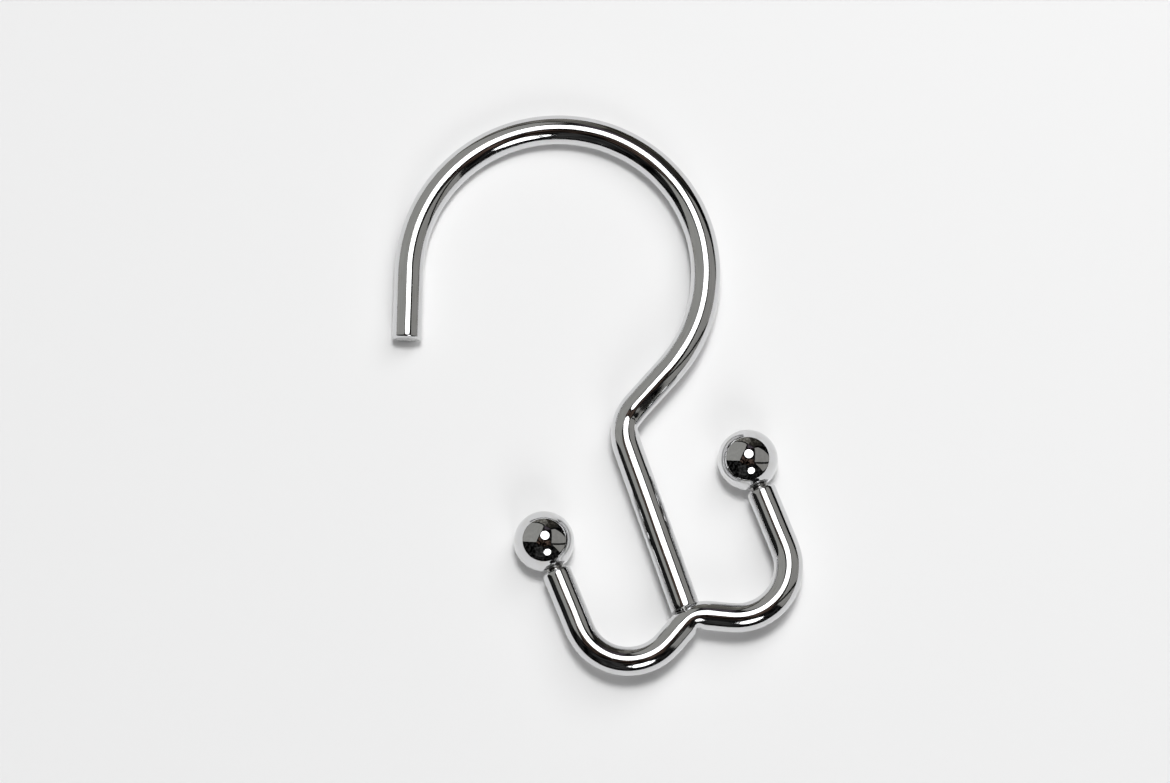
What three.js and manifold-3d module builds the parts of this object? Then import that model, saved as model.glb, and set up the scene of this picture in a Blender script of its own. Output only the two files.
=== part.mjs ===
// Double shower-curtain hook in chrome-plated steel wire. One wire is bent into the open
// loop that goes over the rod, then into a neck and a straight stem. A second wire, bent
// into two upturned hooks with a saddle between them, is welded under the stem's foot,
// and a ball is welded on the end of each of its legs.
//
// Millimetres, +Z up. The hook lies on a level surface, on its two balls and the far
// side of its loop. +Y points along the stem towards the loop, seen from above, and the
// origin is the centre of the footprint, on that surface.

import * as THREE from 'three';
import { mergeVertices } from 'three/addons/utils/BufferGeometryUtils.js';
import Module from 'manifold-3d';

const wasm = await Module();
wasm.setup();

const DEGREE = Math.PI / 180;

// Stock that the hook is made of.
const WIRE_RADIUS = 2;
const BALL_RADIUS = 4.1;

// Hook wire, on its centreline.
const STEM_LENGTH = 26.8; // cut foot to the corner of the neck
const NECK_RADIUS = 5.2;
const NECK_SLOPE = 28.4 * DEGREE; // rise of the run from the neck out to the loop
const LOOP_RADIUS = 20.2;
const LOOP_SWEEP = 220.4 * DEGREE;
const LOOP_OFFSET = 1.05; // loop's centre, left of the stem's axis
const TIP_LENGTH = 9.4; // straight run from the loop to the free end
const STEM_CLIMB = 1.5 * DEGREE; // out of the hook's plane, from the foot to the neck
const RUN_CLIMB = 2.9 * DEGREE; // the same, from the neck out to the loop

// Twin hook wire, on its centreline.
const HOOK_SPACING = 29.8; // between the axes of the two legs
const HOOK_RADIUS = 7;
const SADDLE_RADIUS = 3;
const SADDLE_RISE = 2.85; // crest of the saddle above the lowest points of the hooks
const BALL_RISE = 20.1; // ball centres above the lowest points of the hooks

// How the two wires sit together.
const FOOT_SINK = 0.6; // depth that the stem's foot is pressed into the saddle
const SADDLE_SHIFT = 0.65; // crest of the saddle, right of the stem's axis
const TWIN_HOOK_LEAN = 2.5 * DEGREE; // legs lean left of the stem

// Weld nuggets, as the half-axes of ellipsoids across each joint.
const STEM_NUGGET = new THREE.Vector3(0.9, 0.75, 2);
const BALL_NUGGET = new THREE.Vector3(1.35, 0.5, 1.35);
const JOINT_GAP = 0.06; // clearance that keeps welded neighbours separate solids

// Facets.
const WIRE_SIDES = 12;
const WIRE_STEP = 1.25;
const BALL_SIDES = 24;
const NUGGET_SIDES = 12;
const MERGE_DISTANCE = 1e-4;

const PLATED_WIRE = { color: 0xd6d7da, roughness: 0.07, metalness: 1 };
const PLATED_BALL = { color: 0xdcdde0, roughness: 0.04, metalness: 1 };
const PLATED_WELD = { color: 0xb9babd, roughness: 0.22, metalness: 1 };

// A bend in the XY plane that starts at a point with a heading, and turns left where
// turn is positive and right where it is negative.
class Bend extends THREE.Curve {
  constructor(start, heading, turn, radius) {
    super();
    const side = Math.sign(turn);
    this.startAngle = heading - side * Math.PI / 2;
    this.turn = turn;
    this.radius = radius;
    this.centre = start.clone();
    this.centre.x -= radius * Math.cos(this.startAngle);
    this.centre.y -= radius * Math.sin(this.startAngle);
  }

  getPoint(t, target = new THREE.Vector3()) {
    const angle = this.startAngle + t * this.turn;
    target.set(this.radius * Math.cos(angle), this.radius * Math.sin(angle), 0);
    return target.add(this.centre);
  }
}

function straightRun(start, heading, length) {
  const end = new THREE.Vector3(Math.cos(heading), Math.sin(heading), 0);
  return new THREE.LineCurve3(start.clone(), end.multiplyScalar(length).add(start));
}

// The centreline of a wire that is fed and bent in one plane: each section is a straight
// length or a turn of some radius, and starts where the last one ended.
function wireCentreline(start, firstHeading, sections) {
  const path = new THREE.CurvePath();
  let end = start;
  let heading = firstHeading;
  for (const { straight, turn = 0, radius } of sections) {
    const section = straight
      ? straightRun(end, heading, straight)
      : new Bend(end, heading, turn, radius);
    path.add(section);
    end = section.getPoint(1);
    heading += turn;
  }
  return path;
}

// A planar curve that is lifted out of its plane. Each corner of its profile is a distance
// along the curve and the height there.
class LiftedCurve extends THREE.Curve {
  constructor(planar, profile) {
    super();
    this.planar = planar;
    this.profile = profile;
  }

  getPoint(t, target = new THREE.Vector3()) {
    const distance = t * this.planar.getLength();
    const next = Math.max(this.profile.findIndex((corner) => corner.x >= distance), 1);
    const [from, to] = this.profile.slice(next - 1, next + 1);
    target.copy(this.planar.getPoint(t));
    target.z = THREE.MathUtils.mapLinear(distance, from.x, to.x, from.y, to.y);
    return target;
  }
}

// The loop's centre in the flat hook, whose origin is the stem's foot. The run out of the
// neck is a tangent of the loop.
function loopCentre() {
  const aboveCorner =
    (LOOP_RADIUS - LOOP_OFFSET * Math.sin(NECK_SLOPE)) / Math.cos(NECK_SLOPE);
  return new THREE.Vector3(-LOOP_OFFSET, STEM_LENGTH + aboveCorner, 0);
}

// The profile of the hook wire's climb. It climbs along the stem and the run, and comes
// back into the hook's plane at the far side of the loop.
function climbProfile(neck, loopStart, end) {
  const atNeck = neck * Math.tan(STEM_CLIMB);
  const atLoop = atNeck + (loopStart - neck) * Math.tan(RUN_CLIMB);
  const farSide = loopStart + LOOP_RADIUS * (Math.PI - NECK_SLOPE);
  return [
    new THREE.Vector2(0, 0),
    new THREE.Vector2(neck, atNeck),
    new THREE.Vector2(loopStart, atLoop),
    new THREE.Vector2(farSide, 0),
    new THREE.Vector2(end, 0),
  ];
}

// From the stem's foot, at the origin, up the stem and round the loop to its free end.
function hookCentreline() {
  const neckTurn = Math.PI / 2 - NECK_SLOPE;
  const setback = NECK_RADIUS * Math.tan(neckTurn / 2);
  const corner = new THREE.Vector3(0, STEM_LENGTH, 0);
  const alongNeck = new THREE.Vector3(Math.cos(NECK_SLOPE), Math.sin(NECK_SLOPE), 0);
  const stem = STEM_LENGTH - setback;
  const neck = NECK_RADIUS * neckTurn;
  const run = loopCentre().sub(corner).dot(alongNeck) - setback;
  const planar = wireCentreline(new THREE.Vector3(), Math.PI / 2, [
    { straight: stem },
    { turn: -neckTurn, radius: NECK_RADIUS },
    { straight: run },
    { turn: LOOP_SWEEP, radius: LOOP_RADIUS },
    { straight: TIP_LENGTH },
  ]);
  const profile = climbProfile(stem + neck / 2, stem + neck + run, planar.getLength());
  return new LiftedCurve(planar, profile);
}

// From the end of the left leg, round both hooks to the end of the right leg, with the
// crest of the saddle at the origin.
function twinHookCentreline() {
  const hookAcross = HOOK_SPACING / 2 - HOOK_RADIUS;
  const hookAboveSaddle = SADDLE_RADIUS + HOOK_RADIUS - SADDLE_RISE;
  const centreDistance = Math.hypot(hookAcross, hookAboveSaddle);
  const radii = HOOK_RADIUS + SADDLE_RADIUS;
  const shoulderSlope =
    Math.asin(radii / centreDistance) - Math.atan2(hookAboveSaddle, hookAcross);
  const shoulder = Math.sqrt(centreDistance ** 2 - radii ** 2);
  const leg = BALL_RISE - HOOK_RADIUS - BALL_RADIUS - JOINT_GAP;
  const legEnd = new THREE.Vector3(-HOOK_SPACING / 2, HOOK_RADIUS - SADDLE_RISE + leg, 0);
  const hook = { turn: Math.PI / 2 + shoulderSlope, radius: HOOK_RADIUS };
  return wireCentreline(legEnd, -Math.PI / 2, [
    { straight: leg },
    hook,
    { straight: shoulder },
    { turn: -2 * shoulderSlope, radius: SADDLE_RADIUS },
    { straight: shoulder },
    hook,
    { straight: leg },
  ]);
}

function roundWire(centreline, radius) {
  const section = new THREE.Shape().absarc(0, 0, radius, 0, 2 * Math.PI);
  return new THREE.ExtrudeGeometry(section, {
    steps: Math.round(centreline.getLength() / WIRE_STEP),
    curveSegments: WIRE_SIDES / 2,
    extrudePath: centreline,
  });
}

function ellipsoid(halfAxes, centre, sides) {
  return new THREE.SphereGeometry(1, sides, sides * 2 / 3)
    .scale(...halfAxes)
    .translate(...centre);
}

// The same nugget with the joint clearance all round, to cut its neighbours with.
function nuggetPocket(halfAxes, centre) {
  return ellipsoid(halfAxes.clone().addScalar(JOINT_GAP), centre, NUGGET_SIDES);
}

function toSolid(geometry) {
  const bare = geometry.clone();
  bare.deleteAttribute('normal');
  bare.deleteAttribute('uv');
  const merged = mergeVertices(bare, MERGE_DISTANCE);
  return new wasm.Manifold(new wasm.Mesh({
    numProp: 3,
    vertProperties: merged.getAttribute('position').array,
    triVerts: new Uint32Array(merged.index.array),
  }));
}

function cut(geometry, tools) {
  const solid = tools.reduce((rest, tool) => rest.subtract(toSolid(tool)), toSolid(geometry));
  const mesh = solid.getMesh();
  const result = new THREE.BufferGeometry();
  result.setAttribute('position', new THREE.BufferAttribute(mesh.vertProperties, 3));
  result.setIndex(new THREE.BufferAttribute(mesh.triVerts, 1));
  result.computeVertexNormals();
  return result;
}

function namedMesh(name, geometry, finish) {
  const mesh = new THREE.Mesh(geometry, new THREE.MeshStandardMaterial(finish));
  mesh.name = name;
  return mesh;
}

// The loop wire and the nugget under its stem. The foot is coped over the saddle.
function hookParts(placeTwinHook) {
  const foot = new THREE.Vector3();
  const saddleTool = roundWire(twinHookCentreline(), WIRE_RADIUS + JOINT_GAP);
  const tools = [saddleTool.applyMatrix4(placeTwinHook), nuggetPocket(STEM_NUGGET, foot)];
  const wire = cut(roundWire(hookCentreline(), WIRE_RADIUS), tools);
  return [
    namedMesh('hook_wire', wire, PLATED_WIRE),
    namedMesh('stem_weld', ellipsoid(STEM_NUGGET, foot, NUGGET_SIDES), PLATED_WELD),
  ];
}

// A ball and the nugget between it and its leg.
function ballParts(side, centre, weldPlace) {
  const ball = ellipsoid(new THREE.Vector3().addScalar(BALL_RADIUS), centre, BALL_SIDES);
  const pocket = nuggetPocket(BALL_NUGGET, weldPlace);
  return [
    namedMesh(`${side}_ball`, cut(ball, [pocket]), PLATED_BALL),
    namedMesh(`${side}_ball_weld`, ellipsoid(BALL_NUGGET, weldPlace, NUGGET_SIDES), PLATED_WELD),
  ];
}

function ballCentre(sign) {
  return new THREE.Vector3(sign * HOOK_SPACING / 2, BALL_RISE - SADDLE_RISE, 0);
}

function ballWeldPlace(sign) {
  return ballCentre(sign).sub(new THREE.Vector3(0, BALL_RADIUS, 0));
}

// The twin hook with its balls, in its own frame, placed under the stem's foot.
function makeTwinHook(placeTwinHook) {
  const twinHook = new THREE.Group();
  const stemPocket = nuggetPocket(STEM_NUGGET, new THREE.Vector3());
  const pockets = [
    stemPocket.applyMatrix4(placeTwinHook.clone().invert()),
    nuggetPocket(BALL_NUGGET, ballWeldPlace(-1)),
    nuggetPocket(BALL_NUGGET, ballWeldPlace(1)),
  ];
  const wire = cut(roundWire(twinHookCentreline(), WIRE_RADIUS), pockets);
  twinHook.add(
    namedMesh('twin_hook_wire', wire, PLATED_WIRE),
    ...ballParts('left', ballCentre(-1), ballWeldPlace(-1)),
    ...ballParts('right', ballCentre(1), ballWeldPlace(1)),
  );
  twinHook.applyMatrix4(placeTwinHook);
  return twinHook;
}

// Turns the flat hook about the line through its ball centres until the far side of the
// loop comes down to the surface, then sets the middle of its footprint on the origin.
function layDown(hook, placeTwinHook) {
  const across = new THREE.Vector3(Math.cos(TWIN_HOOK_LEAN), Math.sin(TWIN_HOOK_LEAN), 0);
  const along = new THREE.Vector3(-across.y, across.x, 0);
  const balls = ballCentre(1).applyMatrix4(placeTwinHook);
  const reach = loopCentre().sub(balls).dot(along) + LOOP_RADIUS;
  hook.quaternion.setFromAxisAngle(across, -Math.asin((BALL_RADIUS - WIRE_RADIUS) / reach));
  const box = new THREE.Box3().setFromObject(hook, true);
  const middle = box.getCenter(new THREE.Vector3());
  hook.position.set(-middle.x, -middle.y, -box.min.z);
}

const placeTwinHook = new THREE.Matrix4()
  .makeTranslation(SADDLE_SHIFT, FOOT_SINK - WIRE_RADIUS, 0)
  .multiply(new THREE.Matrix4().makeRotationZ(TWIN_HOOK_LEAN));

const doubleHook = new THREE.Group();
doubleHook.add(...hookParts(placeTwinHook), makeTwinHook(placeTwinHook));
layDown(doubleHook, placeTwinHook);

export default doubleHook;
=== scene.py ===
"""Looks of the double shower-curtain hook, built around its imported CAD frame.

Each piece is made as a smooth mesh in the flat hook's own plane, where the stem's foot is
the origin and the stem runs along +Y, and is then laid down where the CAD part lies.
Places in that plane are complex numbers. Lengths are in metres.
"""

import cmath
import math
from dataclasses import dataclass

import bpy
import numpy as np
from mathutils import Matrix, Vector


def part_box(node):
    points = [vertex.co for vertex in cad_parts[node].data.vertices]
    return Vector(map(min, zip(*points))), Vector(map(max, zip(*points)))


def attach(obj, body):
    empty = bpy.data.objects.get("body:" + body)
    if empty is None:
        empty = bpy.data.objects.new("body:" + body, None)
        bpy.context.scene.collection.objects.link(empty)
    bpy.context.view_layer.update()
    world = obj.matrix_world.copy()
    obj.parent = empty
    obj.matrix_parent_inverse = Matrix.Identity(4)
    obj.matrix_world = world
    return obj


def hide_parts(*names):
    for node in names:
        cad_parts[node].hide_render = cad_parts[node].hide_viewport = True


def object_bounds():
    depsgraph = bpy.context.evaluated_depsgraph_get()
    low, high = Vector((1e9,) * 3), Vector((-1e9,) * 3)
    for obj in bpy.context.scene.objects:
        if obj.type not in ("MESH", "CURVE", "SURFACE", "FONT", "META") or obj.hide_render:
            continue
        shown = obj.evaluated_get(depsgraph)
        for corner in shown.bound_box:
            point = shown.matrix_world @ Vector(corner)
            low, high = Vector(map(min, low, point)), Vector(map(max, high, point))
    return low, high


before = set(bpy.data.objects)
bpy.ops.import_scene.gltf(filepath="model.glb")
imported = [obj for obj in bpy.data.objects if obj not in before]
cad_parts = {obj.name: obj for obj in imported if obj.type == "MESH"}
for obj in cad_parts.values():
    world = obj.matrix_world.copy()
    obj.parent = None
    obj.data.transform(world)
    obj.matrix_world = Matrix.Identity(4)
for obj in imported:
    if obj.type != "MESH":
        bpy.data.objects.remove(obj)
cad_low, cad_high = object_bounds()

MM = 0.001
DEGREE = math.pi / 180

# Stock that the hook is made of.
WIRE_RADIUS = 2 * MM
BALL_RADIUS = 4.1 * MM

# Hook wire, on its centreline.
STEM_LENGTH = 26.8 * MM
NECK_RADIUS = 5.2 * MM
NECK_SLOPE = 28.4 * DEGREE
LOOP_RADIUS = 20.2 * MM
LOOP_SWEEP = 220.4 * DEGREE
LOOP_OFFSET = 1.05 * MM
TIP_LENGTH = 9.4 * MM
STEM_CLIMB = 1.5 * DEGREE
RUN_CLIMB = 2.9 * DEGREE

# Twin hook wire, on its centreline.
HOOK_SPACING = 29.8 * MM
HOOK_RADIUS = 7 * MM
SADDLE_RADIUS = 3 * MM
SADDLE_RISE = 2.85 * MM
BALL_RISE = 20.1 * MM

# How the two wires sit together.
FOOT_SINK = 0.6 * MM
SADDLE_SHIFT = 0.65 * MM
TWIN_HOOK_LEAN = 2.5 * DEGREE

# Surface of the bent wire.
BEND_EASE = 0.9 * MM  # to each side of a bend's start and end
CLIMB_EASE = 3  # in bends' eases, to each side of a change of climb
BEND_SQUEEZE = 0.12  # flattening in a bend of the wire's own radius
NECK_DIP = 0.13 * MM  # where the wire's top has sunk at the tight bend of the neck
NECK_DIP_SHIFT = 0.8 * MM  # towards the loop from the middle of the bend
CREASE = 0.3 * MM  # on the inside of a tight bend
CREASE_LENGTH = 0.9 * MM
CREASE_SHARPNESS = 4  # how closely it keeps to the very inside
TOOL_MARK = 0.06 * MM  # pressed along the run by the tool that bent the neck
TOOL_MARK_ANGLE = 1.1  # round the wire, from the bend's inside towards the top
TOOL_MARK_WIDTH = 0.11  # as an angle round the wire
TOOL_MARK_LENGTH = 6 * MM
TOOL_MARK_FADE = 3  # how sharply it starts and ends
STEM_FLAT = 0.06 * MM  # left along the top of the stem by straightening
STEM_FLAT_WIDTH = 0.5  # as an angle round the wire
STEM_FLAT_FADE = 2  # how sharply it ends at the neck
WAVE_HEIGHT = 0.008 * MM
WAVE_LENGTHS = np.array([4.1, 6.3, 9.7, 14.3]) * MM
WAVE_LOBES = np.array([1, 2, 3, 2])
TIP_RIM = 0.28 * MM
FOOT_RIM = 0.15 * MM
LEG_RIM = 0.3 * MM
RIM_ROLLOVER = 0.3  # share by which a rim is rounder on one side, and sharper opposite
RIM_ROLLOVER_ANGLE = math.pi / 3
BURR = 0.12 * MM  # left by the shear along the lower side of a cut end

# Balls and welds.
BALL_WAVE_HEIGHT = 0.004 * MM
UPSET_RADIUS = 1.8 * MM  # of the ring that is raised on a ball round its weld
UPSET_HEIGHT = 0.07 * MM
UPSET_WIDTH = 0.3 * MM
LEG_GAP = 0.3 * MM  # between a ball and its leg, which the collar of their weld bridges
COLLAR_WAIST = 1.2 * MM
COLLAR_FLARE = 0.35 * MM
COLLAR_HALF_LENGTH = 0.62 * MM
BEAD_RADIUS = 0.45 * MM
BEAD_TOP = 1.99 * MM  # above the wires' axes
BEAD_PLACE = complex(-0.3, -0.15) * MM
WELD_LUMPS = 0.07  # as a share of a weld's radius
SEED = 7  # of the waves and lumps

# Chrome. Colours are what it reflects.
CLEAN_CHROME = (0.67, 0.672, 0.68)
SMUDGED_CHROME = (0.61, 0.605, 0.59)
DULL_CHROME = (0.5, 0.5, 0.49)
# Dark patches of the ball welds' collars: partly bare weld, partly painted shade of the crevice
# between ball and leg.
BARE_WELD_AND_CREVICE_SHADE = (0.1, 0.095, 0.09)
LINE_DEPTH = 0.002 * MM  # of the lines left by drawing the wire
PIT_DEPTH = 2.0  # in lines' depths
SCORE_DEPTH = 30.0  # in lines' depths
CUT_FACE_EDGE = (1.8, 1.6)  # in millimetres from the wire's axis, outside and inside
PEEL_DEPTH = 0.002 * MM
BEAD_RIPPLE_DEPTH = 0.01 * MM
COLLAR_RIPPLE_DEPTH = 0.015 * MM

# How finely the meshes are made.
WIRE_STATION = 0.25 * MM
WIRE_SIDES = 64
RIM_RINGS = 7
FACE_RINGS = 5
EASE_SAMPLES = 15
BALL_RINGS = 96
BALL_SIDES = 128
WELD_RINGS = 40
WELD_SIDES = 64
FLOOR_SIDES = 128

# Where the camera stands. Azimuth 0 looks along +Y, and elevation is above the horizon.
CAMERA_AZIMUTH = -19.5
CAMERA_ELEVATION = 81.4
FRAME_WIDTH = 158.9 * MM  # that the camera takes in, across the hook
AIM_LEFT = 0.95 * MM  # of the middle of the hook
LENS = 400  # in millimetres, as is the sensor
SENSOR = 36

# Lamps. Each place is (azimuth, elevation) round the hook, in degrees. The key lamp casts
# the crisp shadow, and only the main and front lamps show in the chrome.
KEY_LAMP = (154, 78.5)
KEY_LAMP_RADIUS = 5.5 * DEGREE
KEY_LAMP_STRENGTH = 1.52
MAIN_LAMP = (147, 74)
MAIN_LAMP_RADIUS = 16.5 * DEGREE
MAIN_LAMP_STRENGTH = 0.75
FRONT_LAMP = (-4, 38.5)
FRONT_LAMP_RADIUS = 12.8 * DEGREE
FRONT_LAMP_STRENGTH = 0.5
FILL_LAMP = (125, 50)
FILL_LAMP_DISTANCE = 0.4
FILL_LAMP_WIDTH = 0.2
FILL_LAMP_POWER = 0.28

# Cards that show in the chrome, each as its corners' places and its colour.
CARD_DISTANCE = 0.7
CARD_PATCHES = 10  # scale of the noise in a card's glow
LEFT_CARD = [
    (-108, 1), (-89, 58), (-150, 67), (172, 54), (163, 39), (169, 30), (-176, 17), (-163, 1),
]
LEFT_COLOUR = (0.38, 0.38, 0.36)
RIGHT_CARD = [(41, 58), (124, 44), (116, 32), (101, 22), (87, 10), (79, 1), (65, 1)]
RIGHT_COLOUR = (0.33, 0.325, 0.31)
CORNER_CARD = [(36, 51), (60, 1), (47, 2), (33, 8)]
CORNER_COLOUR = (0.32, 0.315, 0.3)
BACK_CARD = [(-165, 1), (-178, 12), (166, 26), (154, 38), (149, 20), (157, 1), (175, 1)]
BACK_COLOUR = (0.3, 0.29, 0.26)
DARK_BACK_CARD = [(154, 38), (132, 42), (116, 19), (121, 1), (157, 1), (149, 20)]
DARK_BACK_COLOUR = (0.07, 0.065, 0.055)
SEAM_CARD = [(160, 36), (132, 43), (126, 46), (157, 54)]
SEAM_COLOUR = (0.09, 0.075, 0.09)
STAND_CARD = [(-85, 57), (-137, 71), (1, 83), (58, 64), (29, 54), (-8, 61), (-66, 58)]
STAND_COLOUR = (0.11, 0.075, 0.06)
SIDE_CARD = [(-69, 43), (-31, 61), (-20, 21), (-45, 14)]
SIDE_COLOUR = (0.055, 0.055, 0.055)
POLE_CARD = [(-16.3, 55.9), (-13.5, 55.8), (-15.7, 14.5), (-17.5, 14.6)]
POLE_COLOUR = (0.02, 0.02, 0.02)

# Floor, backdrop and room.
FLOOR_RADIUS = 1.5
FLOOR_COLOUR = (0.87, 0.87, 0.87)
FLOOR_SPECULAR = 0.2
FLOOR_GLOW = 0.06
FLOOR_MOTTLE = 60.0  # scale of the noise in its roughness
BACKDROP_RADIUS = 2
BACKDROP_RADIANCE = 0.735
ROOM_BRIGHTEST = 0.03
ROOM_PATCHES = 8  # scale of the noise in its glow
PATCH_EDGE = (0.45, 0.65)  # of a noise, between the dimmest and the brightest


@dataclass
class Centreline:
    """The middle of a bent wire, at stations along it, and its height above the plane."""

    stations: np.ndarray
    points: np.ndarray
    headings: np.ndarray
    heights: np.ndarray

    def at(self, stations):
        """Points, headings and heights at any stations."""
        real = np.interp(stations, self.stations, self.points.real)
        imaginary = np.interp(stations, self.stations, self.points.imag)
        headings = np.interp(stations, self.stations, self.headings)
        heights = np.interp(stations, self.stations, self.heights)
        return real + 1j * imaginary, headings, heights

    def curvature_at(self, stations):
        """How fast the heading turns there, per metre."""
        curvature = np.gradient(self.headings, self.stations)
        return np.interp(stations, self.stations, curvature)


def straight(length):
    """A section of wire, as its length and its turn."""
    return length, 0


def bend(turn, radius):
    """A section that turns left where turn is positive."""
    return abs(turn) * radius, turn


def bent_wire(start, first_heading, sections, climb=((0, 0),)):
    """The centreline through the sections, with each bend eased in and out.

    Climb gives heights above the plane, as pairs of a station and the height there.
    """
    lengths, turns = zip(*sections)
    edges = np.concatenate([[0], np.cumsum(lengths)])
    corners = first_heading + np.concatenate([[0], np.cumsum(turns)])
    stations = np.linspace(0, edges[-1], round(edges[-1] / WIRE_STATION) + 1)
    shifts = np.linspace(-BEND_EASE, BEND_EASE, EASE_SAMPLES)
    headings = np.mean([np.interp(stations + s, edges, corners) for s in shifts], axis=0)
    places, levels = zip(*climb)
    climb_shifts = CLIMB_EASE * shifts
    heights = np.mean([np.interp(stations + s, places, levels) for s in climb_shifts], axis=0)
    steps = np.diff(stations) * np.exp(0.5j * (headings[1:] + headings[:-1]))
    points = start + np.concatenate([[0], np.cumsum(steps)])
    return Centreline(stations, points, headings, heights)


def loop_centre():
    """The run out of the neck is a tangent of the loop."""
    rise = (LOOP_RADIUS - LOOP_OFFSET * math.sin(NECK_SLOPE)) / math.cos(NECK_SLOPE)
    return complex(-LOOP_OFFSET, STEM_LENGTH + rise)


def hook_stations():
    """Stations of the middle of the neck, the loop's start and the loop's far side."""
    neck_turn = math.pi / 2 - NECK_SLOPE
    setback = NECK_RADIUS * math.tan(neck_turn / 2)
    neck = STEM_LENGTH - setback + NECK_RADIUS * neck_turn / 2
    to_loop = (loop_centre() - 1j * STEM_LENGTH) * cmath.exp(-1j * NECK_SLOPE)
    loop = neck + NECK_RADIUS * neck_turn / 2 + to_loop.real - setback
    return neck, loop, loop + LOOP_RADIUS * (math.pi - NECK_SLOPE)


def hook_centreline():
    """From the stem's foot, up the stem and round the loop to its free end."""
    neck, loop, far_side = hook_stations()
    neck_bend = bend(NECK_SLOPE - math.pi / 2, NECK_RADIUS)
    sections = [
        straight(neck - neck_bend[0] / 2),
        neck_bend,
        straight(loop - neck - neck_bend[0] / 2),
        bend(LOOP_SWEEP, LOOP_RADIUS),
        straight(TIP_LENGTH),
    ]
    at_neck = neck * math.tan(STEM_CLIMB)
    at_loop = at_neck + (loop - neck) * math.tan(RUN_CLIMB)
    climb = [(0, 0), (neck, at_neck), (loop, at_loop), (far_side, 0)]
    return bent_wire(0, math.pi / 2, sections, climb)


def twin_hook_centreline():
    """From the left leg's end, round both hooks to the right leg's."""
    across = HOOK_SPACING / 2 - HOOK_RADIUS
    above_saddle = SADDLE_RADIUS + HOOK_RADIUS - SADDLE_RISE
    distance = math.hypot(across, above_saddle)
    radii = HOOK_RADIUS + SADDLE_RADIUS
    slope = math.asin(radii / distance) - math.atan2(above_saddle, across)
    shoulder = straight(math.sqrt(distance**2 - radii**2))
    leg = BALL_RISE - HOOK_RADIUS - BALL_RADIUS - LEG_GAP
    leg_end = complex(-HOOK_SPACING / 2, HOOK_RADIUS - SADDLE_RISE + leg)
    hook = bend(math.pi / 2 + slope, HOOK_RADIUS)
    saddle = bend(-2 * slope, SADDLE_RADIUS)
    sections = [straight(leg), hook, shoulder, saddle, shoulder, hook, straight(leg)]
    return bent_wire(on_twin_hook(leg_end), TWIN_HOOK_LEAN - math.pi / 2, sections)


def on_twin_hook(place):
    """A place on the twin hook, from the crest of its saddle, as one on the flat hook."""
    crest = complex(SADDLE_SHIFT, FOOT_SINK - WIRE_RADIUS)
    return crest + place * cmath.exp(1j * TWIN_HOOK_LEAN)


def ball_centre(side):
    """Side is -1 for the left ball and 1 for the right one."""
    return on_twin_hook(complex(side * HOOK_SPACING / 2, BALL_RISE - SADDLE_RISE))


def middle_of(node):
    """The middle of a CAD node's box."""
    low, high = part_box(node)
    return (low + high) / 2


def laid_down():
    """The matrix that lays the flat hook on its balls and the far side of its loop."""
    left, right = ball_centre(-1), ball_centre(1)
    lean = cmath.exp(1j * TWIN_HOOK_LEAN)
    reach = ((loop_centre() - left) / lean).imag + LOOP_RADIUS
    tilt = math.asin((BALL_RADIUS - WIRE_RADIUS) / reach)
    turn = Matrix.Rotation(-tilt, 4, Vector((lean.real, lean.imag, 0)))
    balls = (left + right) / 2
    flat = turn @ Vector((balls.real, balls.imag, 0))
    cad = (middle_of("left_ball") + middle_of("right_ball")) / 2
    top = (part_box("left_ball")[1].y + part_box("right_ball")[1].y) / 2
    shift = Vector((cad.x - flat.x, top - BALL_RADIUS - flat.y, BALL_RADIUS - flat.z))
    return Matrix.Translation(shift) @ turn


def waves(along, around, height, random):
    """Gentle unevenness over a surface, as a sum of waves that wind round it."""
    total = np.zeros(np.broadcast(along, around).shape)
    for length, lobes in zip(WAVE_LENGTHS, WAVE_LOBES):
        phase, spin = random.uniform(0, 2 * math.pi, 2)
        total += np.sin(2 * math.pi * along / length + phase) * np.cos(lobes * around + spin)
    return height * total / len(WAVE_LENGTHS)


def lofted(name, rings, poles, grain):
    """A closed, smooth mesh over rings of points, from one pole to the other.

    Each ring runs clockwise as seen from the last pole, so that all faces face outwards.
    Grain is each ring's points as they would lie on a straight piece along Z. Materials
    use it, in millimetres, so that their lines follow the piece.
    """
    count, sides = rings.shape[:2]
    vertices = np.concatenate([poles[:1], rings.reshape(-1, 3), poles[1:]])
    quads = []
    for ring in range(count - 1):
        for side in range(sides):
            after = (side + 1) % sides
            low, high = 1 + ring * sides, 1 + (ring + 1) * sides
            quads.append((low + after, low + side, high + side, high + after))
    last, end = 1 + (count - 1) * sides, len(vertices) - 1
    first_fan = [(0, 1 + side, 1 + (side + 1) % sides) for side in range(sides)]
    last_fan = [(end, last + (side + 1) % sides, last + side) for side in range(sides)]
    mesh = bpy.data.meshes.new(name)
    mesh.from_pydata(vertices.tolist(), [], first_fan + quads + last_fan)
    ends = [grain[0].mean(0, keepdims=True), grain[-1].mean(0, keepdims=True)]
    straightened = np.concatenate([ends[0], grain.reshape(-1, 3), ends[1]]) / MM
    attribute = mesh.attributes.new("grain", "FLOAT_VECTOR", "POINT")
    attribute.data.foreach_set("vector", straightened.astype(np.float32).ravel())
    mesh.transform(LAID_DOWN)
    mesh.shade_smooth()
    piece = bpy.data.objects.new(name, mesh)
    bpy.context.scene.collection.objects.link(piece)
    return piece


def full_turn(sides):
    """Angles round a ring, one for each side."""
    return np.linspace(0, 2 * math.pi, sides, endpoint=False)


def in_plane(places, heights):
    """Complex places in the flat hook's plane and heights above it, as points."""
    return np.stack([places.real, places.imag, heights], axis=-1)


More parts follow.
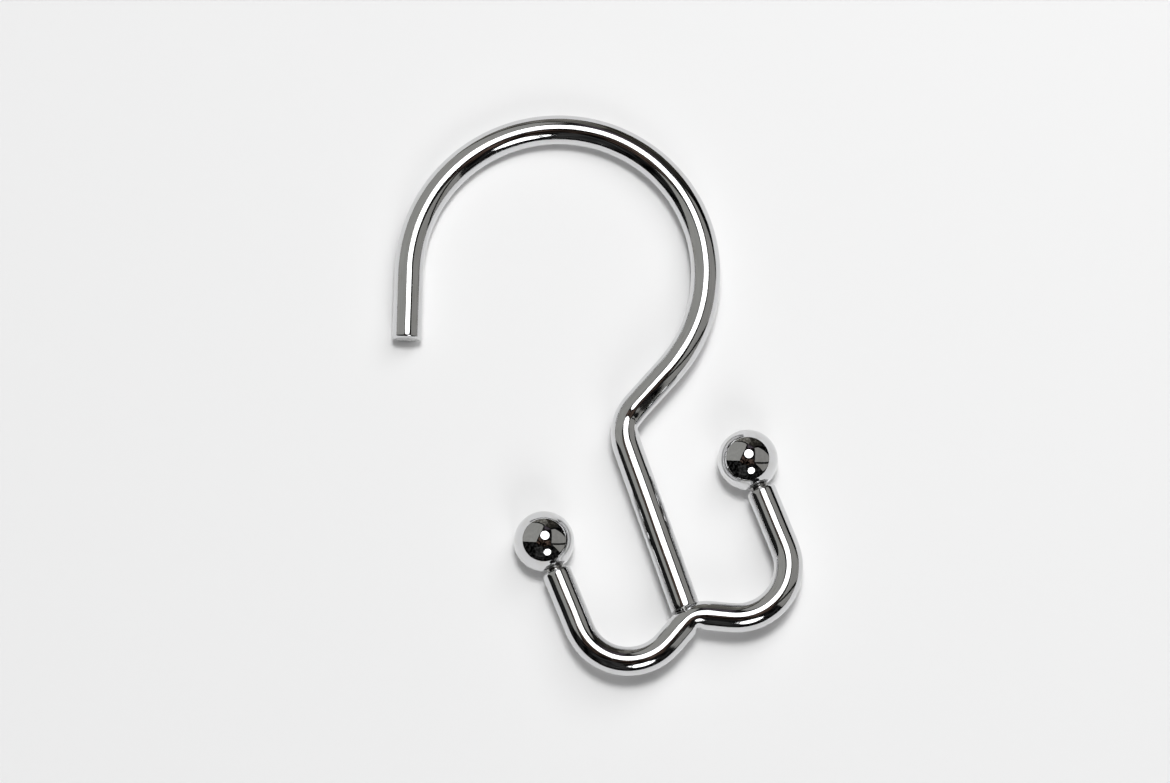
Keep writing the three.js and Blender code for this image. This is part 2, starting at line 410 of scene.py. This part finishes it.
def cut_end(rim, around):
    """Depths and radii of the rings on a cut end, from the middle of its face outwards."""
    rim = rim * (1 + RIM_ROLLOVER * np.cos(around - RIM_ROLLOVER_ANGLE))
    corner = np.linspace(math.pi / 2, 0, RIM_RINGS)[:, None]
    face = np.linspace(0, 1, FACE_RINGS, endpoint=False)[1:, None] * (WIRE_RADIUS - rim)
    depths = np.concatenate([np.zeros_like(face), rim * (1 - np.sin(corner))])
    radii = np.concatenate([face, WIRE_RADIUS - rim * (1 - np.cos(corner))])
    lower_side = np.maximum(-np.sin(around), 0) ** 2
    near_rim = (radii / WIRE_RADIUS) ** 4
    return depths - BURR * lower_side * near_rim, radii


def crushed_neck(stations, around):
    """How far the bend of the neck has sunk the wire's top, and creased its inside.

    The stem below it has been left a little flat on top, and the run above it marked.
    """
    along = (stations - hook_stations()[0]) / CREASE_LENGTH
    past_dip = along - NECK_DIP_SHIFT / CREASE_LENGTH
    dip = NECK_DIP * np.exp(-(past_dip**2)) * np.maximum(np.sin(around), 0)
    from_top = (around - math.pi / 2) / STEM_FLAT_WIDTH
    flat = STEM_FLAT * np.exp(-(from_top**2)) / (1 + np.exp(STEM_FLAT_FADE * along))
    from_mark = (around - TOOL_MARK_ANGLE) / TOOL_MARK_WIDTH
    past_mark = along - TOOL_MARK_LENGTH / CREASE_LENGTH
    started = 1 / (1 + np.exp(-TOOL_MARK_FADE * along))
    ended = 1 + np.exp(TOOL_MARK_FADE * past_mark)
    mark = TOOL_MARK * np.exp(-(from_mark**2)) * (started / ended)
    return dip + creased_inside(along, around) + flat + mark


def creased_inside(along, around):
    """How deep the crease is on the inside of a tight right-hand bend.

    Along is the distance from the middle of the bend, in creases' lengths.
    """
    inside = np.maximum(np.cos(around), 0) ** CREASE_SHARPNESS
    return CREASE * np.exp(-(along**2)) * inside


def crushed_saddle(stations, around):
    """How far the saddle's bend, in the middle of the twin hook, has creased its inside."""
    along = (stations - stations.max() / 2) / CREASE_LENGTH
    return creased_inside(along, around)


def swept_wire(name, line, first_rim, last_rim, random, crushed):
    """A round wire along a centreline, cut square at both ends.

    Crushed gives how far its surface has sunk, from stations and angles round the wire.
    """
    around = full_turn(WIRE_SIDES)
    length = line.stations[-1]
    first_depths, first_radii = cut_end(first_rim, around)
    last_depths, last_radii = cut_end(last_rim, around)
    clear = 2 * max(first_rim, last_rim)
    between = line.stations[(line.stations > clear) & (line.stations < length - clear)]
    run = np.repeat(between[:, None], WIRE_SIDES, axis=1)
    stations = np.concatenate([first_depths, run, length - last_depths[::-1]])
    radii = np.concatenate([first_radii, np.full_like(run, WIRE_RADIUS), last_radii[::-1]])
    radii = radii * (1 + waves(stations, around, WAVE_HEIGHT / WIRE_RADIUS, random))
    radii = radii - crushed(stations, around)
    squeeze = BEND_SQUEEZE * (WIRE_RADIUS * line.curvature_at(stations)) ** 2
    places, headings, climb = line.at(stations)
    sideways = radii * (1 - squeeze) * np.cos(around)
    heights = radii * (1 + squeeze / 2) * np.sin(around)
    across = np.exp(1j * (headings - math.pi / 2))
    rings = in_plane(places + sideways * across, heights + climb)
    ends = in_plane(line.points[[0, -1]], line.heights[[0, -1]])
    grain = np.stack([sideways, heights, stations], axis=-1)
    return lofted(name, rings, ends, grain)


def turned(name, middle, axis, along, radii):
    """A mesh turned about an axis in the flat hook's plane.

    Along and radii give each ring's place on the axis and its radius, point by point.
    """
    around = full_turn(radii.shape[1])
    along = np.broadcast_to(along, radii.shape)
    sideways, heights = radii * np.cos(around), radii * np.sin(around)
    places = middle + axis * (along - 1j * sideways)
    ends = in_plane(middle + axis * along[[0, -1]].mean(axis=1), np.zeros(2))
    grain = np.stack([sideways, heights, along], axis=-1)
    return lofted(name, in_plane(places, heights), ends, grain)


def ball(name, side, random):
    """A polished ball, with the ring that its weld has raised on it."""
    polar = np.linspace(math.pi, 0, BALL_RINGS + 2)[1:-1, None]
    around = full_turn(BALL_SIDES)
    upset = (BALL_RADIUS * np.sin(polar) - UPSET_RADIUS) / UPSET_WIDTH
    raised = np.where(polar < math.pi / 2, UPSET_HEIGHT * np.exp(-(upset**2)), 0)
    waviness = waves(BALL_RADIUS * polar, around, BALL_WAVE_HEIGHT, random)
    radius = BALL_RADIUS + raised + waviness * np.sin(polar)
    towards_leg = -1j * cmath.exp(1j * TWIN_HOOK_LEAN)
    along, radii = radius * np.cos(polar), radius * np.sin(polar)
    return turned(name, ball_centre(side), towards_leg, along, radii)


def ball_weld(name, side, random):
    """The collar of a butt weld, narrowest between the ball and its leg."""
    share = np.linspace(-1, 1, WELD_RINGS)[:, None]
    around = full_turn(WELD_SIDES)
    lumps = waves(COLLAR_HALF_LENGTH * share, around, WELD_LUMPS, random)
    radii = (COLLAR_WAIST + COLLAR_FLARE * share**2) * (1 + lumps)
    along = BALL_RADIUS + LEG_GAP / 2 + COLLAR_HALF_LENGTH * share
    towards_leg = -1j * cmath.exp(1j * TWIN_HOOK_LEAN)
    return turned(name, ball_centre(side), towards_leg, along, radii)


def stem_weld(name, random):
    """The slim upright nugget at the stem's foot, whose two ends show as beads."""
    polar = np.linspace(math.pi, 0, WELD_RINGS)[1:-1, None]
    around = full_turn(WELD_SIDES)
    heights = BEAD_RADIUS * np.cos(polar) + (BEAD_TOP - BEAD_RADIUS) * np.sign(np.cos(polar))
    swollen = 1 + waves(heights, around, WELD_LUMPS, random)
    places = BEAD_PLACE + BEAD_RADIUS * np.sin(polar) * swollen * np.exp(-1j * around)
    rings = in_plane(places, np.broadcast_to(heights, places.shape))
    poles = in_plane(np.repeat(BEAD_PLACE, 2), np.array([-BEAD_TOP, BEAD_TOP]))
    return lofted(name, rings, poles, rings)


class Nodes:
    """Short calls for the nodes of a material."""

    def __init__(self, name):
        self.material = bpy.data.materials.new(name)
        self.material.use_nodes = True
        self.tree = self.material.node_tree
        self.shader = self.tree.nodes["Principled BSDF"]

    def add(self, kind, inputs=None, **settings):
        """A node with settings, and inputs that are numbers or other nodes' outputs."""
        node = self.tree.nodes.new(kind)
        for key, value in settings.items():
            setattr(node, key, value)
        for key, value in (inputs or {}).items():
            self.feed(node.inputs[key], value)
        return node

    def feed(self, socket, value):
        """Sets a socket to a number or colour, or links another node's output to it."""
        if isinstance(value, bpy.types.NodeSocket):
            self.tree.links.new(value, socket)
        else:
            socket.default_value = value

    def set(self, **values):
        """Sets the shader's own inputs, with _ for a space in a name."""
        for key, value in values.items():
            self.feed(self.shader.inputs[key.replace("_", " ")], value)

    def place(self, scale):
        """The piece's grain, in millimetres, scaled along each axis."""
        grain = self.add("ShaderNodeAttribute", attribute_name="grain")
        inputs = {"Vector": grain.outputs["Vector"], "Scale": scale}
        return self.add("ShaderNodeMapping", inputs).outputs["Vector"]

    def noise(self, scale, detail=2.0):
        """Noise whose features lie about 1 / scale millimetres apart along each axis."""
        inputs = {"Vector": self.place(scale), "Scale": 1.0, "Detail": detail}
        return self.add("ShaderNodeTexNoise", inputs).outputs["Fac"]

    def pits(self, scale, size):
        """1 in small spots that lie about 1 / scale millimetres apart, and 0 elsewhere."""
        inputs = {"Vector": self.place(scale), "Scale": 1.0}
        distance = self.add("ShaderNodeTexVoronoi", inputs).outputs["Distance"]
        return self.ramp(distance, size, 0.5 * size, 0.0, 1.0)

    def ramp(self, value, from_low, from_high, to_low, to_high):
        """Maps one span of values onto another, and holds its ends beyond it."""
        inputs = {
            "Value": value,
            "From Min": from_low,
            "From Max": from_high,
            "To Min": to_low,
            "To Max": to_high,
        }
        return self.add("ShaderNodeMapRange", inputs).outputs["Result"]

    def sum(self, first, second):
        return self.add("ShaderNodeMath", {0: first, 1: second}).outputs[0]

    def times(self, first, second):
        return self.add("ShaderNodeMath", {0: first, 1: second}, operation="MULTIPLY").outputs[0]

    def blend(self, factor, first, second):
        """A colour between two, each of which is a tuple or another node's output."""
        mix = self.add("ShaderNodeMix", {0: factor}, data_type="RGBA")
        for socket, colour in ((6, first), (7, second)):
            self.feed(mix.inputs[socket], (*colour, 1) if isinstance(colour, tuple) else colour)
        return mix.outputs[2]

    def bump(self, height, distance):
        """Raises the surface where height is large, by distance for a height of 1."""
        inputs = {"Height": height, "Distance": distance, "Strength": 1.0}
        self.set(Normal=self.add("ShaderNodeBump", inputs).outputs["Normal"])


def plated_wire():
    """Bright chrome over drawn wire: fine lines along it, a few hairlines and pits.

    The shear has left its cut faces dull and scored.
    """
    nodes = Nodes("chrome_on_drawn_wire")
    fine_lines = nodes.noise((14, 14, 0.12), detail=3.0)
    broad_lines = nodes.noise((2.2, 2.2, 0.07))
    drawing = nodes.sum(fine_lines, nodes.times(broad_lines, 2.0))
    scuffs = nodes.ramp(nodes.noise((1.6, 1.6, 0.35), detail=4.0), 0.55, 0.75, 0.0, 1.0)
    pits = nodes.pits((1.1, 1.1, 0.5), size=0.05)
    across = nodes.place((1, 1, 0))
    from_axis = nodes.add("ShaderNodeVectorMath", {0: across}, operation="LENGTH")
    cut_face = nodes.ramp(from_axis.outputs["Value"], *CUT_FACE_EDGE, 0.0, 1.0)
    scores = nodes.times(nodes.noise((6, 0.6, 0), detail=3.0), cut_face)
    plating = nodes.blend(scuffs, CLEAN_CHROME, SMUDGED_CHROME)
    scored = nodes.ramp(scores, 0.4, 0.65, 0.0, 1.0)
    nodes.set(Metallic=1.0, Base_Color=nodes.blend(scored, plating, DULL_CHROME))
    smudged = nodes.sum(nodes.times(scuffs, 0.05), nodes.times(pits, 0.2))
    dulled = nodes.sum(smudged, nodes.times(cut_face, 0.2))
    nodes.set(Roughness=nodes.sum(dulled, nodes.ramp(fine_lines, 0.3, 0.7, 0.04, 0.09)))
    marks = nodes.sum(nodes.times(pits, -PIT_DEPTH), nodes.times(scores, SCORE_DEPTH))
    nodes.bump(nodes.sum(marks, drawing), LINE_DEPTH)
    return nodes.material


def plated_ball():
    """Bright chrome over a polished ball: a faint orange peel, and hardly a mark."""
    nodes = Nodes("chrome_on_polished_ball")
    peel = nodes.noise((2.2, 2.2, 2.2))
    haze = nodes.noise((0.5, 0.5, 0.5), detail=4.0)
    hazed = nodes.ramp(haze, 0.5, 0.75, 0.0, 1.0)
    nodes.set(Metallic=1.0, Base_Color=nodes.blend(hazed, CLEAN_CHROME, SMUDGED_CHROME))
    nodes.set(Roughness=nodes.ramp(haze, 0.35, 0.7, 0.015, 0.06))
    nodes.bump(peel, PEEL_DEPTH)
    return nodes.material


def plated_stem_weld():
    """Chrome over a small bead that flowed smooth as it cooled."""
    nodes = Nodes("chrome_on_bead")
    ripples = nodes.noise((1.5, 1.5, 1.5))
    dulled = nodes.ramp(ripples, 0.4, 0.7, 0.0, 1.0)
    nodes.set(Metallic=1.0, Base_Color=nodes.blend(dulled, CLEAN_CHROME, SMUDGED_CHROME))
    nodes.set(Roughness=nodes.ramp(ripples, 0.3, 0.7, 0.05, 0.14))
    nodes.bump(ripples, BEAD_RIPPLE_DEPTH)
    return nodes.material


def plated_ball_weld():
    """Thin chrome over a butt weld, which plating hardly reaches, darkened in patches as bare
    weld and also as painted shade of the crevice between ball and leg.
    """
    nodes = Nodes("thin_chrome_and_painted_crevice_shade")
    ripples = nodes.noise((1.8, 1.8, 3.0), detail=3.0)
    plated_not_shaded = nodes.ramp(ripples, 0.35, 0.65, 0.0, 1.0)
    # Painted shade: the dark patches also stand for the shade in the crevice between ball and
    # leg, beside the bare weld.
    nodes.set(Metallic=1.0, Base_Color=nodes.blend(plated_not_shaded, BARE_WELD_AND_CREVICE_SHADE, DULL_CHROME))
    nodes.set(Roughness=nodes.ramp(ripples, 0.3, 0.7, 0.1, 0.25))
    nodes.bump(ripples, COLLAR_RIPPLE_DEPTH)
    return nodes.material


def finish_piece(piece, material, node):
    """Gives a piece its material, hangs it on the root body, and hides the CAD node that it
    replaces.
    """
    piece.data.materials.append(material)
    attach(piece, "root")
    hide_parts(node)


def build_hook():
    """All seven pieces, in the order in which they draw their random numbers."""
    random = np.random.default_rng(SEED)
    wire, polished = plated_wire(), plated_ball()
    bead, butt_weld = plated_stem_weld(), plated_ball_weld()
    hook = swept_wire(
        "chrome_hook_wire", hook_centreline(), FOOT_RIM, TIP_RIM, random, crushed_neck
    )
    finish_piece(hook, wire, "hook_wire")
    twin = swept_wire(
        "chrome_twin_hook_wire", twin_hook_centreline(), LEG_RIM, LEG_RIM, random, crushed_saddle
    )
    finish_piece(twin, wire, "twin_hook_wire")
    finish_piece(stem_weld("chrome_stem_weld", random), bead, "stem_weld")
    for side, word in ((-1, "left"), (1, "right")):
        node = f"{word}_ball"
        finish_piece(ball(f"chrome_{node}", side, random), polished, node)
        collar = ball_weld(f"chrome_{node}_weld", side, random)
        finish_piece(collar, butt_weld, f"{node}_weld")


def towards(azimuth, elevation):
    """The direction to a place round the hook, given in degrees."""
    a, e = azimuth * DEGREE, elevation * DEGREE
    return Vector((math.sin(a) * math.cos(e), -math.cos(a) * math.cos(e), math.sin(e)))


def add_camera():
    """A long lens, so that the hook shows almost without perspective."""
    data = bpy.data.cameras.new("camera")
    data.lens, data.sensor_width = LENS, SENSOR
    camera = bpy.data.objects.new("camera", data)
    bpy.context.scene.collection.objects.link(camera)
    bpy.context.scene.camera = camera
    back = towards(CAMERA_AZIMUTH, CAMERA_ELEVATION)
    left = back.cross(Vector((0, 0, 1))).normalized()
    aim = (cad_low + cad_high) / 2 + left * AIM_LEFT
    camera.rotation_mode = "QUATERNION"
    camera.rotation_quaternion = back.to_track_quat("Z", "Y")
    camera.location = aim + back * (FRAME_WIDTH * LENS / SENSOR)


def add_lamp(name, data, place, distance=1):
    """A lamp that points at the hook from its place."""
    lamp = bpy.data.objects.new(name, data)
    lamp.rotation_mode = "QUATERNION"
    lamp.rotation_quaternion = towards(*place).to_track_quat("Z", "Y")
    lamp.location = towards(*place) * distance
    bpy.context.scene.collection.objects.link(lamp)
    return lamp


def add_softbox(name, place, radius, strength):
    """A round softbox, so far away that it lights the whole floor alike."""
    data = bpy.data.lights.new(name, "SUN")
    data.angle = 2 * radius
    data.energy = strength
    return add_lamp(name, data, place)


def add_fill():
    """A nearer lamp, whose light falls off across the floor, and doesn't show in chrome."""
    data = bpy.data.lights.new("fill_lamp", "AREA")
    data.shape = "DISK"
    data.size = FILL_LAMP_WIDTH
    data.energy = FILL_LAMP_POWER
    add_lamp("fill_lamp", data, FILL_LAMP, FILL_LAMP_DISTANCE).visible_glossy = False


def uneven(tree, coordinates, scale, dimmest, brightest):
    """A noise that goes from one strength to another, for a light or the room."""
    source = tree.nodes.new("ShaderNodeTexCoord")
    noise = tree.nodes.new("ShaderNodeTexNoise")
    noise.inputs["Scale"].default_value = scale
    tree.links.new(source.outputs[coordinates], noise.inputs["Vector"])
    strength = tree.nodes.new("ShaderNodeMapRange")
    strength.inputs["From Min"].default_value = PATCH_EDGE[0]
    strength.inputs["From Max"].default_value = PATCH_EDGE[1]
    strength.inputs["To Min"].default_value = dimmest
    strength.inputs["To Max"].default_value = brightest
    tree.links.new(noise.outputs["Fac"], strength.inputs["Value"])
    return strength.outputs["Result"]


def glowing(name, colour, dimmest=1.0):
    """A material that gives off light, and reflects none.

    Dimmest is the share of its light that it gives off where it is dimmest.
    """
    material = bpy.data.materials.new(name)
    material.use_nodes = True
    tree = material.node_tree
    tree.nodes.remove(tree.nodes["Principled BSDF"])
    emission = tree.nodes.new("ShaderNodeEmission")
    emission.inputs["Color"].default_value = (*colour, 1)
    if dimmest < 1:
        strength = uneven(tree, "Object", CARD_PATCHES, dimmest, 1.0)
        tree.links.new(strength, emission.inputs["Strength"])
    tree.links.new(emission.outputs[0], tree.nodes["Material Output"].inputs["Surface"])
    return material


def add_stage_mesh(name, vertices, faces, material):
    """A mesh of the studio, which is no part of the hook."""
    mesh = bpy.data.meshes.new(name)
    mesh.from_pydata(vertices, [], faces)
    mesh.materials.append(material)
    piece = bpy.data.objects.new(name, mesh)
    bpy.context.scene.collection.objects.link(piece)
    return piece


def add_card(name, corners, colour, dimmest=0.9):
    """A large card round the hook, as its corners' places, that shows in the chrome."""
    rim = [towards(*corner) * CARD_DISTANCE for corner in corners]
    middle = sum(rim, Vector()).normalized() * CARD_DISTANCE
    count = len(rim)
    faces = [(count, i, (i + 1) % count) for i in range(count)]
    card = add_stage_mesh(name, [*rim, middle], faces, glowing(name, colour, dimmest))
    card.visible_camera = False
    card.visible_diffuse = False
    card.visible_shadow = False


def add_floor():
    """A pale matt board under the hook."""
    nodes = Nodes("pale_board")
    position = nodes.add("ShaderNodeTexCoord").outputs["Object"]
    inputs = {"Vector": position, "Scale": FLOOR_MOTTLE, "Detail": 4.0}
    mottle = nodes.add("ShaderNodeTexNoise", inputs).outputs["Fac"]
    nodes.set(Roughness=nodes.ramp(mottle, 0.3, 0.7, 0.75, 0.9))
    nodes.set(Base_Color=(*FLOOR_COLOUR, 1), Specular_IOR_Level=FLOOR_SPECULAR)
    nodes.set(Emission_Color=(1, 1, 1, 1), Emission_Strength=FLOOR_GLOW)
    rim = FLOOR_RADIUS * np.exp(1j * full_turn(FLOOR_SIDES))
    vertices = in_plane(rim, np.full(FLOOR_SIDES, cad_low.z)).tolist()
    add_stage_mesh("floor", vertices, [range(FLOOR_SIDES)], nodes.material)


def add_backdrop():
    """An even pale dome that only the camera sees, behind the floor's far edge."""
    bpy.ops.mesh.primitive_uv_sphere_add(radius=BACKDROP_RADIUS, segments=64, ring_count=32)
    dome = bpy.context.object
    dome.name = "backdrop"
    dome.data.materials.append(glowing("backdrop", (BACKDROP_RADIANCE,) * 3))
    dome.visible_diffuse = False
    dome.visible_glossy = False
    dome.visible_transmission = False
    dome.visible_shadow = False


def add_dim_room():
    """What shows in the chrome between the cards."""
    world = bpy.data.worlds.new("dim_room")
    world.use_nodes = True
    background = world.node_tree.nodes["Background"]
    background.inputs["Color"].default_value = (1, 1, 1, 1)
    strength = uneven(world.node_tree, "Generated", ROOM_PATCHES, 0.0, ROOM_BRIGHTEST)
    world.node_tree.links.new(strength, background.inputs["Strength"])
    bpy.context.scene.world = world


def add_studio():
    """The room, the floor, the lamps, and the cards that the chrome reflects."""
    bpy.context.scene.view_settings.view_transform = "Standard"
    add_dim_room()
    add_floor()
    add_backdrop()
    key = add_softbox("key_lamp", KEY_LAMP, KEY_LAMP_RADIUS, KEY_LAMP_STRENGTH)
    key.visible_glossy = False
    add_softbox("main_lamp", MAIN_LAMP, MAIN_LAMP_RADIUS, MAIN_LAMP_STRENGTH)
    add_softbox("front_lamp", FRONT_LAMP, FRONT_LAMP_RADIUS, FRONT_LAMP_STRENGTH)
    add_fill()
    add_card("left_card", LEFT_CARD, LEFT_COLOUR)
    add_card("right_card", RIGHT_CARD, RIGHT_COLOUR)
    add_card("corner_card", CORNER_CARD, CORNER_COLOUR)
    add_card("back_card", BACK_CARD, BACK_COLOUR, dimmest=0.4)
    add_card("dark_back_card", DARK_BACK_CARD, DARK_BACK_COLOUR, dimmest=0.3)
    add_card("seam_card", SEAM_CARD, SEAM_COLOUR, dimmest=0.5)
    add_card("stand_card", STAND_CARD, STAND_COLOUR, dimmest=0.0)
    add_card("side_card", SIDE_CARD, SIDE_COLOUR, dimmest=0.3)
    add_card("pole_card", POLE_CARD, POLE_COLOUR)


LAID_DOWN = laid_down()
add_camera()
build_hook()
add_studio()
